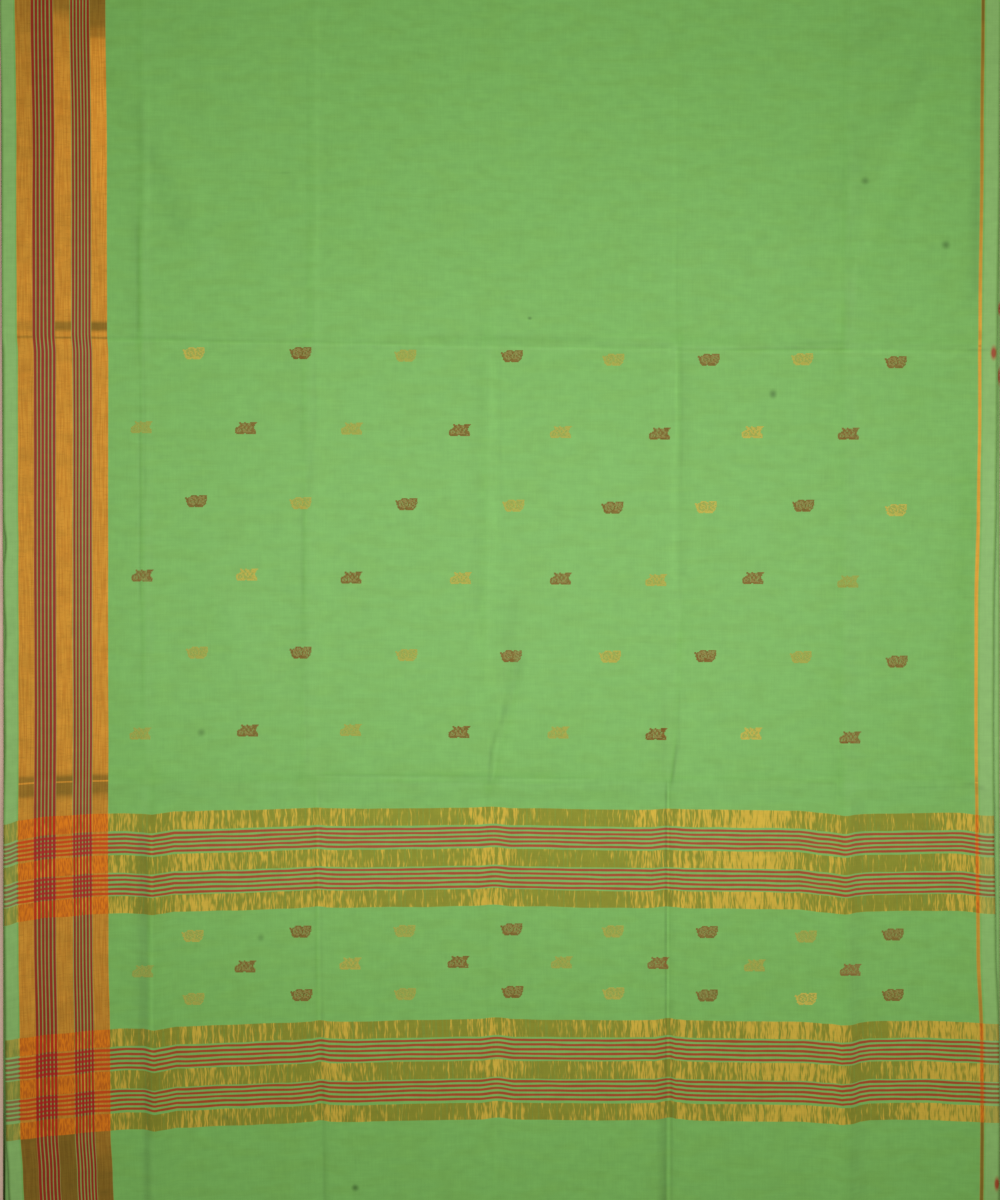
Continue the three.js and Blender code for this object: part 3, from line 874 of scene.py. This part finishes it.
def woven_figure_thread(name, colour, other_colour, pale_colour, metallic):
    """Loose extra weft: soft floats whose colour changes from thread to thread, and is paler where the
    ground shows through them, and on faint figures. On the gold figures that faintness is painted light:
    their zari is drawn fainter where it catches less light."""
    material = new_material(name)
    tree = material.node_tree
    place = add(tree, "ShaderNodeTexCoord").node.outputs["Object"]
    stretched = add(tree, "ShaderNodeVectorMath", {0: place, 1: FLOAT_BLOTS}, operation="MULTIPLY")
    threads = add(tree, "ShaderNodeTexNoise", {"Vector": stretched, "Scale": 1.0, "Detail": 2.0})
    pale = add(tree, "ShaderNodeAttribute", attribute_name="pale").node.outputs["Fac"]
    colour = coated(
        tree, colour, (other_colour, contrast(tree, threads, 0.35, 0.68), 1), (pale_colour, pale, 1))
    inputs = {"Base Color": colour, "Roughness": 0.7, "Metallic": metallic, "Specular IOR Level": 0.25}
    finish_surface(tree, inputs, threads, bump_mm=0.1, strength=0.4)
    return material


class SARI_OT_cloth(bpy.types.Operator):
    """Lays the sari on its folds as one thin sheet"""
    bl_idname = "sari.cloth"
    bl_label = "Cloth"

    def execute(self, context):
        settings = context.scene.sari_cloth
        shape = ClothShape(settings)
        rows, columns = shape.rows(), shape.columns()
        length = rows[-1][3]
        points, painted_shade_and_thread_marks, places = [], [], []
        for y, z, level, covered in rows:
            on_top = level == shape.TOP
            for x in columns:
                point = shape.point(x, y, z, level)
                # The press attribute carries the painted shade and highlight of the press lines, and the
                # thread lines
                mark = shape.painted_press_shade_and_threads(point.x, point.y) if on_top else 0.0
                points.append(point + Vector((0, 0, PRESS_RELIEF * mark)))
                painted_shade_and_thread_marks.append(mark)
                drop = shape.weft_drop(x, y) if on_top and covered > HEM_LENGTH else 0.0
                places.append(((x + shape.half) / shape.width, (covered + drop) / length))
        shift = centred(points)
        points = [p + shift for p in points]
        wide = len(columns)
        corners = (row * wide + column for row in range(len(rows) - 1) for column in range(wide - 1))
        faces = [(corner, corner + 1, corner + wide + 1, corner + wide) for corner in corners]
        piece = new_piece("sari_folded_cloth", points, faces, sari_cotton(settings, shape, length))
        uv = piece.data.uv_layers.new(name="cloth")
        for loop in piece.data.loops:
            uv.data[loop.index].uv = places[loop.vertex_index]
        piece.data.attributes.new("press", "FLOAT", "POINT").data.foreach_set("value", painted_shade_and_thread_marks)
        context.scene.sari_shift = shift
        bpy.ops.object.select_all(action="DESELECT")
        context.view_layer.objects.active = piece
        piece.select_set(True)
        bpy.ops.object.shade_smooth()
        body = piece.modifiers.new("Thickness", "SOLIDIFY")
        body.thickness = settings.thickness
        body.offset = 0
        bpy.ops.object.modifier_apply(modifier=body.name)
        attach(piece, "root")
        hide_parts("sari_cloth")
        context.scene.sari_length = length * MM
        return {"FINISHED"}


class SARI_OT_figures(bpy.types.Operator):
    """Lays the small woven figures on the pallu, as floats of extra weft"""
    bl_idname = "sari.figures"
    bl_label = "Woven figures"

    # A float that lets the ground show through is this much of a pick high, and this pale
    OPEN_FLOAT = 0.94
    OPEN_PALENESS = 0.75
    # Floats end this many millimetres early or late, and slope down at each end within this length
    END_UNEVEN, SLOPE = 0.25, 0.5
    # Shares of a float's height: its ends, and its sides, which sink into the cloth. Its flat top is
    # this share of its width.
    END_UP, SIDE_UP, TOP_WIDE = 0.2, -0.3, 0.6

    def execute(self, context):
        settings = context.scene.sari_figures
        cloth = bpy.data.objects["sari_folded_cloth"]
        self.shift = Vector(context.scene.sari_shift)
        self.surface = BVHTree.FromPolygons(
            [v.co for v in cloth.data.vertices], [p.vertices for p in cloth.data.polygons])
        self.pick = settings.pick / MM
        self.rise = settings.height
        self.chance = random.Random(settings.seed)
        made = {True: ([], [], []), False: ([], [], [])}
        for row in FIGURE_ROWS:
            is_gold = row.first_gold
            for pixel_x, pixel_y, strength in row.middles:
                x = (pixel_x - PHOTO_WIDTH / 2) * PHOTO_PIXEL_MM
                y = (PHOTO_HEIGHT / 2 - pixel_y) * PHOTO_PIXEL_MM
                # faint pales the whole figure; for a gold figure this is painted light, zari that catches
                # less light
                self.lay_figure(CHARTS[row.figure], x, y, 1 - strength, made[is_gold])
                is_gold = not is_gold
        threads = {
            False: woven_figure_thread(
                "red_brown_cotton_floats", settings.brown, "#7a5b1d", "#a08348", metallic=0.0),
            True: woven_figure_thread(
                "gold_zari_floats", settings.gold, "#cbb84f", "#a2ad4f", metallic=0.1),
        }
        for is_gold, name in ((False, "woven_figures_brown"), (True, "woven_figures_gold")):
            points, faces, pale_shares = made[is_gold]
            piece = new_piece(name, points, faces, threads[is_gold])
            piece.data.attributes.new("pale", "FLOAT", "POINT").data.foreach_set("value", pale_shares)
            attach(piece, "root")
        return {"FINISHED"}

    def lay_figure(self, chart, x, y, faint, mesh):
        signs = [(place, number) for number, line in enumerate(chart)
                 for place, sign in enumerate(line) if sign != "."]
        middle_place, middle_line = (sum(values) / len(signs) for values in zip(*signs))
        for number, line in enumerate(chart):
            for run in re.finditer(r"#+|\++", line):
                start, end = (x + (place - 0.5 - middle_place) * self.pick for place in run.span())
                start += self.chance.uniform(-self.END_UNEVEN, self.END_UNEVEN)
                end += self.chance.uniform(-self.END_UNEVEN, self.END_UNEVEN)
                float_y = y + (middle_line - number) * self.pick
                self.lay_float(start, end, float_y, run.group()[0] == "+", faint, mesh)

    def lay_float(self, left, right, y, is_open, faint, mesh):
        """One float: a low bar with sloped sides and ends that dip into the cloth."""
        points, faces, pale_shares = mesh
        base = len(points)
        half_height = self.pick / 2 * (self.OPEN_FLOAT if is_open else 1.0)
        # A faint gold figure's paleness is painted light; an open float's paleness is the ground showing
        # through
        pale = faint + (1 - faint) * (self.OPEN_PALENESS if is_open else 0.0)
        slope = min(self.SLOPE, (right - left) / 3)
        stops = ((left, self.END_UP), (left + slope, 1.0), (right - slope, 1.0), (right, self.END_UP))
        wide, low = self.TOP_WIDE, self.SIDE_UP
        for x, full in stops:
            for aside, up in ((-1.0, low), (-wide, full), (wide, full), (1.0, low)):
                place = Vector((x, y + aside * half_height * (0.5 + 0.5 * full), 1 / MM))
                hit = self.surface.ray_cast((place + self.shift) * MM, Vector((0, 0, -1)))[0]
                points.append((hit + Vector((0, 0, self.rise * up))) / MM)
                pale_shares.append(pale)
        last = base + (len(stops) - 1) * 4
        for ring in range(base, last, 4):
            for side in range(4):
                a, b = ring + side, ring + (side + 1) % 4
                faces.append((a, a + 4, b + 4, b))
        faces.append((base, base + 1, base + 2, base + 3))
        faces.append((last + 3, last + 2, last + 1, last))


class SARI_OT_stage(bpy.types.Operator):
    """Sets the floor, the camera above the cloth and the soft lights"""
    bl_idname = "sari.stage"
    bl_label = "Stage"

    SENSOR_MM = 36
    FLOOR_SIZE = 40
    LIGHT_WIDE, LIGHT_LONG = 1.5, 0.8
    LIGHT_OVER = (0.08, 0.03)
    # The face of the cloth, as a share of the frame's height
    FACE_SHARE = 0.75

    def execute(self, context):
        settings = context.scene.sari_stage
        scene = context.scene
        shift = Vector(scene.sari_shift) * MM
        bpy.ops.object.select_all(action="DESELECT")
        bpy.ops.mesh.primitive_plane_add(size=self.FLOOR_SIZE, location=(0, 0, 0))
        floor = context.object
        floor.name = "floor"
        matt = new_material("pale_matt_floor")
        surface = add(matt.node_tree, "ShaderNodeBsdfPrincipled",
                      {"Base Color": settings.floor, "Roughness": 0.9})
        add(matt.node_tree, "ShaderNodeOutputMaterial", {"Surface": surface})
        floor.data.materials.append(matt)

        height = CAD_BOX[1].z * self.FACE_SHARE + settings.distance
        bpy.ops.object.camera_add(location=(shift.x, shift.y, height))
        camera = context.object
        camera.name = "camera"
        camera.rotation_euler = (0, 0, 0)
        camera.data.sensor_width = self.SENSOR_MM
        frame_height = PHOTO_HEIGHT * PHOTO_PIXEL_MM * MM
        camera.data.lens = self.SENSOR_MM * settings.distance / frame_height
        scene.camera = camera

        bpy.ops.object.light_add(type="AREA", location=(*self.LIGHT_OVER, settings.key_height))
        key = context.object
        key.name = "soft_light"
        key.data.shape = "RECTANGLE"
        key.data.size, key.data.size_y = self.LIGHT_WIDE, self.LIGHT_LONG
        key.data.energy = settings.key_power
        key.visible_camera = False
        key.rotation_euler = (0, 0, 0)

        scene.world = bpy.data.worlds.new("fill")
        scene.world.use_nodes = True
        background = scene.world.node_tree.nodes["Background"]
        background.inputs["Color"].default_value = linear_colour("#fff1c8")
        background.inputs["Strength"].default_value = settings.fill
        scene.view_settings.view_transform = "Standard"
        return {"FINISHED"}


SETTINGS = {"cloth": SariClothSettings, "figures": SariFigureSettings, "stage": SariStageSettings}
STEPS = [SARI_OT_cloth, SARI_OT_figures, SARI_OT_stage]


class SARI_PT_panel(bpy.types.Panel):
    """Sizes, colours and steps of the sari"""
    bl_idname = "SARI_PT_panel"
    bl_label = "Folded cotton sari"
    bl_space_type = "VIEW_3D"
    bl_region_type = "UI"
    bl_category = "Sari"

    def draw(self, context):
        for title, group in SETTINGS.items():
            box = self.layout.box()
            box.label(text=title.title())
            for name in group.__annotations__:
                box.prop(getattr(context.scene, "sari_" + title), name)
        for step in STEPS:
            self.layout.operator(step.bl_idname)


CLASSES = [*SETTINGS.values(), *STEPS, SARI_PT_panel]


def register():
    for cls in CLASSES:
        bpy.utils.register_class(cls)
    for name, group in SETTINGS.items():
        setattr(bpy.types.Scene, "sari_" + name, bpy.props.PointerProperty(type=group))
    bpy.types.Scene.sari_shift = bpy.props.FloatVectorProperty(
        name="Shift", description="From the photograph's middle to the frame's", size=3)
    bpy.types.Scene.sari_length = bpy.props.FloatProperty(
        name="Length", description="Of the whole cloth, laid flat", unit="LENGTH")


def unregister():
    for name in ("length", "shift", *SETTINGS):
        delattr(bpy.types.Scene, "sari_" + name)
    for cls in reversed(CLASSES):
        bpy.utils.unregister_class(cls)


def main():
    register()
    bpy.ops.sari.cloth()
    bpy.ops.sari.figures()
    bpy.ops.sari.stage()
    bpy.context.view_layer.update()


if __name__ == "__main__":
    main()
